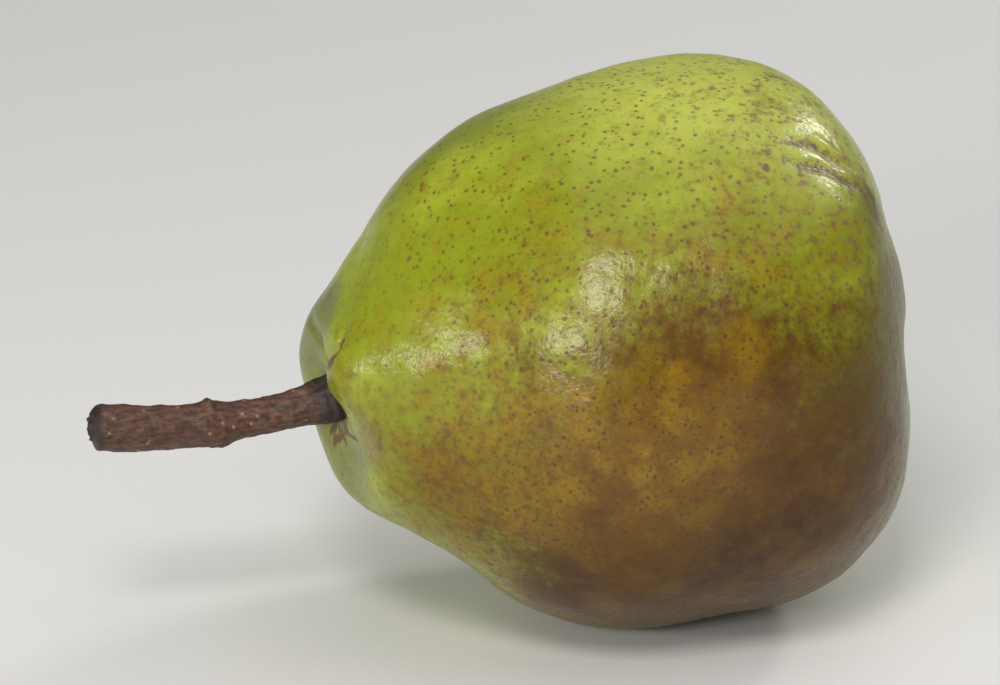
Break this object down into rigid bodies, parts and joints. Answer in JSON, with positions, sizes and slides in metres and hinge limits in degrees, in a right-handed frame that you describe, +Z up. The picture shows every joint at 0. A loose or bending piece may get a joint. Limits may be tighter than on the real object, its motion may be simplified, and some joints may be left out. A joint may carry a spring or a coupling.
{
  "type": "pear",
  "caption": "Whole ripe green pear with a bronze blush, lying on its side, with its woody stem, dried sepals and stamens.",
  "frame": {"origin": "middle of the small flat spot on the underside that the pear rests on", "axes": "+Z up; the stem points to -X and the calyx end to +X; +Y is the far side seen with the stem on the left"},
  "size_m": [0.112, 0.0746, 0.0757],
  "materials": {
    "skin": "waxy fruit skin, green to bronze, with fine brown pores",
    "stem_wood": "matte brown bark with lengthwise ridges",
    "dried_sepal": "dry, curled, dark brown leaf tissue",
    "dried_stamen": "dry blackish filaments"
  },
  "bodies": {
    "root": {"pear_body": "skin", "stem": "stem_wood", "sepal_1": "dried_sepal", "sepal_2": "dried_sepal", "sepal_3": "dried_sepal", "sepal_4": "dried_sepal", "sepal_5": "dried_sepal", "stamens": "dried_stamen"}
  },
  "joints": []
}
